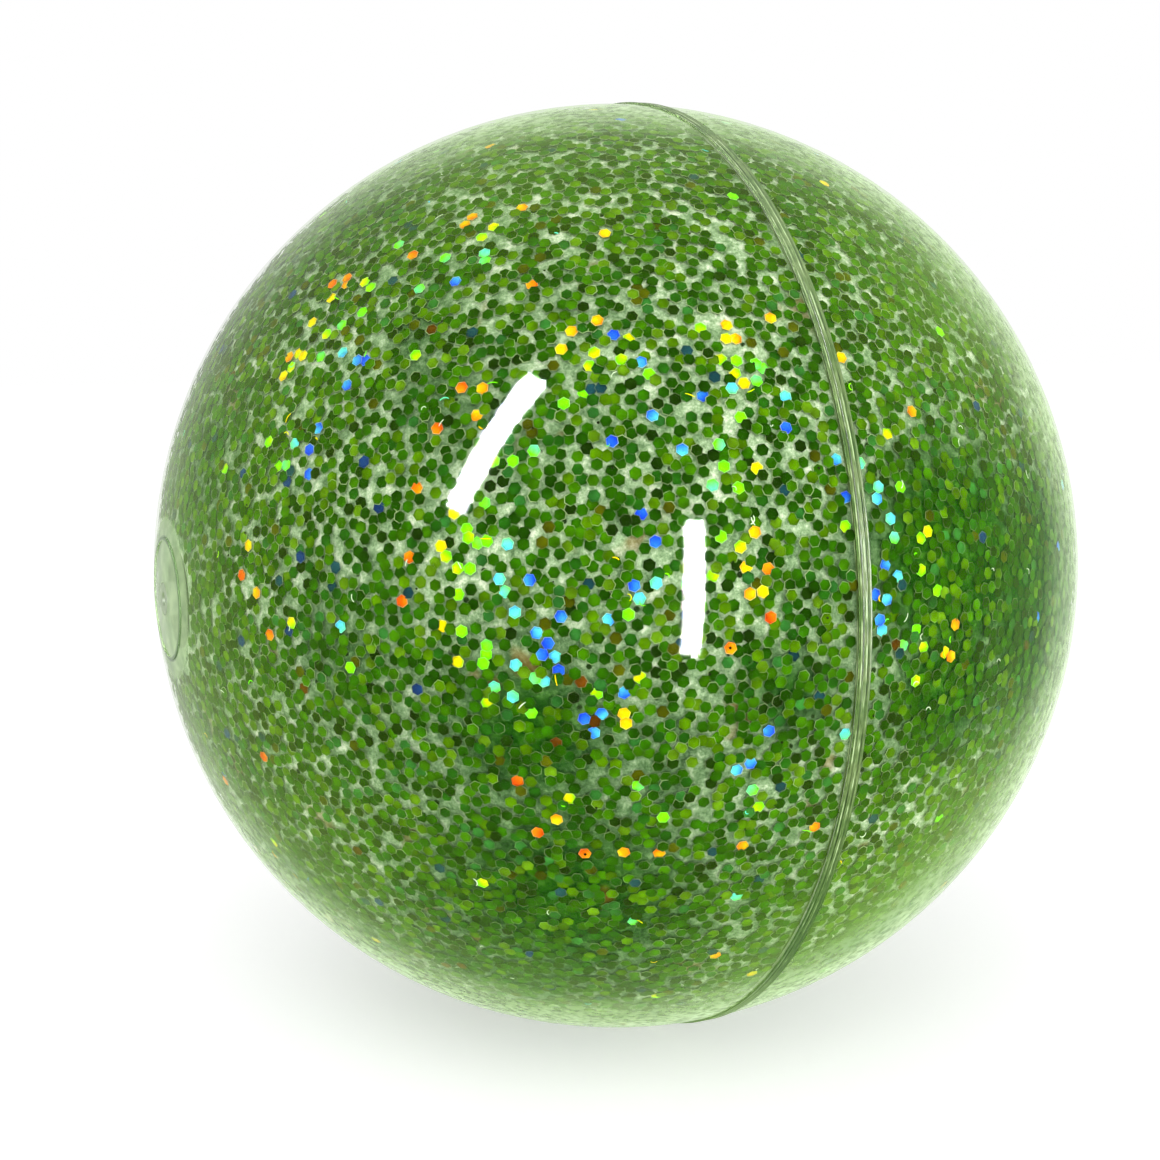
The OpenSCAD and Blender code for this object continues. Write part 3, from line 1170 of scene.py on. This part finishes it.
def make_strap(material):
    """The strap round the seam, in one mesh of quads."""
    rng = np.random.default_rng(SEED + 5)
    profile = np.array(strap_profile())
    count = len(profile)
    step = np.arange(STRAP_STEPS)
    points = strap_points(profile, step / STRAP_STEPS * 2 * math.pi, rng)
    ring = step[:, None] * count
    following = ((step + 1) % STRAP_STEPS)[:, None] * count
    here = np.arange(count)[None, :]
    after = (here + 1) % count
    quads = np.stack([ring + here, ring + after, following + after, following + here], axis=-1).reshape(-1, 4)
    mesh = bpy.data.meshes.new("seam_strap_detailed")
    mesh.from_pydata(points.reshape(-1, 3).tolist(), [], quads.tolist())
    along = mesh.uv_layers.new(name="along_strap")
    along.data.foreach_set("uv", strap_map(profile).astype(np.float32).reshape(-1))
    mesh.materials.append(material)
    mesh.shade_smooth()
    mesh.set_sharp_from_angle(angle=math.radians(50))
    piece = add_object("seam_strap_detailed", mesh)
    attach(piece, "root")
    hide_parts("seam_strap")


# Light, floor and backdrop

# Distance of a strip lamp from the place on the ball that mirrors it, and its strength
LAMP_DISTANCE = 0.55
STRIP_STRENGTH = 1500
# The two highlights: both ends in the photograph's pixels, and width in pixels
HIGHLIGHTS = [((538, 378), (455, 510), 22), ((694, 520), (691, 655), 20)]
# Soft lamps: name, place and size in metres, and watts
SOFTBOXES = [
    ("soft_key", (-0.9, -1.3, 1.5), 1.2, 13.5),
    ("low_fill", (0.35, -1.35, 0.0), 0.9, 10.5),
]
# Strength of the world as light, and as seen
WORLD_LIGHT = 0.9
WORLD_SEEN = 1.0
# The floor's grey, its glow as light and as seen, and half its width in metres
FLOOR_GREY = 0.6
FLOOR_LIGHT = 0.6
FLOOR_SEEN = 0.5
FLOOR_HALF = 3.0


def strip_ends(start, end):
    """Where a lamp lies whose reflection runs from one pixel to another."""
    ends = []
    for x, y in (start, end):
        point, way = seen_at(x, y)
        ends.append(point + way * LAMP_DISTANCE)
    return ends


def make_strip(name, start, end, width_px):
    """A long lamp that only shines and mirrors on the skin, where the photograph has a highlight."""
    a, b = strip_ends(start, end)
    middle = Vector(start).lerp(Vector(end), 0.5)
    across = Vector((end[1] - start[1], start[0] - end[0])).normalized() * width_px / 2
    sides = strip_ends(middle - across, middle + across)
    data = bpy.data.lights.new(name, "AREA")
    data.shape = "RECTANGLE"
    data.size = (sides[1] - sides[0]).length
    data.size_y = (b - a).length
    data.energy = STRIP_STRENGTH * data.size * data.size_y * math.pi
    lamp = add_object(name, data)
    centre = (a + b) / 2
    y = (b - a).normalized()
    z = centre.normalized()
    z = (z - y * z.dot(y)).normalized()
    lamp.matrix_world = Matrix.Translation(centre) @ Matrix((y.cross(z), y, z)).transposed().to_4x4()
    lamp.visible_camera = False
    lamp.visible_diffuse = False


def make_softbox(name, place, size, watts):
    """A square lamp that faces the ball and shows in no mirror."""
    data = bpy.data.lights.new(name, "AREA")
    data.shape = "SQUARE"
    data.size = size
    data.energy = watts
    lamp = add_object(name, data)
    lamp.location = place
    lamp.rotation_mode = "QUATERNION"
    lamp.rotation_quaternion = Vector(place).to_track_quat("Z", "Y")
    lamp.visible_camera = False
    lamp.visible_glossy = False


def seen_or_light(tree, light, seen):
    """One value for what the camera sees, also in a mirror or through glass, and another for light."""
    path = tree.nodes.new("ShaderNodeLightPath")
    share = math_node(tree, "ADD", path.outputs["Is Camera Ray"], path.outputs["Is Glossy Ray"])
    share = math_node(tree, "ADD", share, path.outputs["Is Transmission Ray"])
    share = math_node(tree, "MINIMUM", share, 1.0)
    return map_range(tree, share, 0.0, 1.0, light, seen)


def make_world():
    """White studio round the ball."""
    world = bpy.data.worlds.new("studio")
    bpy.context.scene.world = world
    world.use_nodes = True
    tree = world.node_tree
    tree.nodes.clear()
    background = node(tree, "ShaderNodeBackground", Color=(1, 1, 1, 1))
    tree.links.new(seen_or_light(tree, WORLD_LIGHT, WORLD_SEEN), background.inputs["Strength"])
    out = tree.nodes.new("ShaderNodeOutputWorld")
    tree.links.new(background.outputs[0], out.inputs[0])


def make_floor():
    """Pale floor under the ball, with a faint glow that makes it as white as the world."""
    material, tree = new_material("pale_floor")
    matt = node(tree, "ShaderNodeBsdfDiffuse", Color=(FLOOR_GREY, FLOOR_GREY, FLOOR_GREY, 1))
    glow = node(tree, "ShaderNodeEmission", Color=(1, 1, 1, 1))
    tree.links.new(seen_or_light(tree, FLOOR_LIGHT, FLOOR_SEEN), glow.inputs["Strength"])
    both = tree.nodes.new("ShaderNodeAddShader")
    tree.links.new(matt.outputs[0], both.inputs[0])
    tree.links.new(glow.outputs[0], both.inputs[1])
    output(tree, both.outputs[0])
    corners = [(x * FLOOR_HALF, y * FLOOR_HALF, -STRAP_R) for x, y in ((-1, -1), (1, -1), (1, 1), (-1, 1))]
    mesh = bpy.data.meshes.new("floor")
    mesh.from_pydata(corners, [], [(0, 1, 2, 3)])
    mesh.materials.append(material)
    floor = add_object("floor", mesh)


def dress(name, material):
    """Give a CAD node another material."""
    item = bpy.data.objects[name]
    item.data.materials.clear()
    item.data.materials.append(material)


make_camera()
for index, highlight in enumerate(HIGHLIGHTS):
    make_strip(f"strip_lamp_{index + 1}", *highlight)
for softbox in SOFTBOXES:
    make_softbox(*softbox)
make_world()
make_floor()

vinyl = vinyl_material()
for name in ("valve_half_shell", "plain_half_shell"):
    dress(name, vinyl)
make_strap(strap_material())
plug = plug_material()
for name in ("valve_plug", "valve_socket"):
    dress(name, plug)
film = flake_material()
# Places of the flakes with painted glints, for the slivers beside them
bright = make_glitter(film)
make_specks(film)
make_slivers(film, bright)

scene = bpy.context.scene
scene.view_settings.view_transform = "Standard"
scene.cycles.transparent_max_bounces = 24
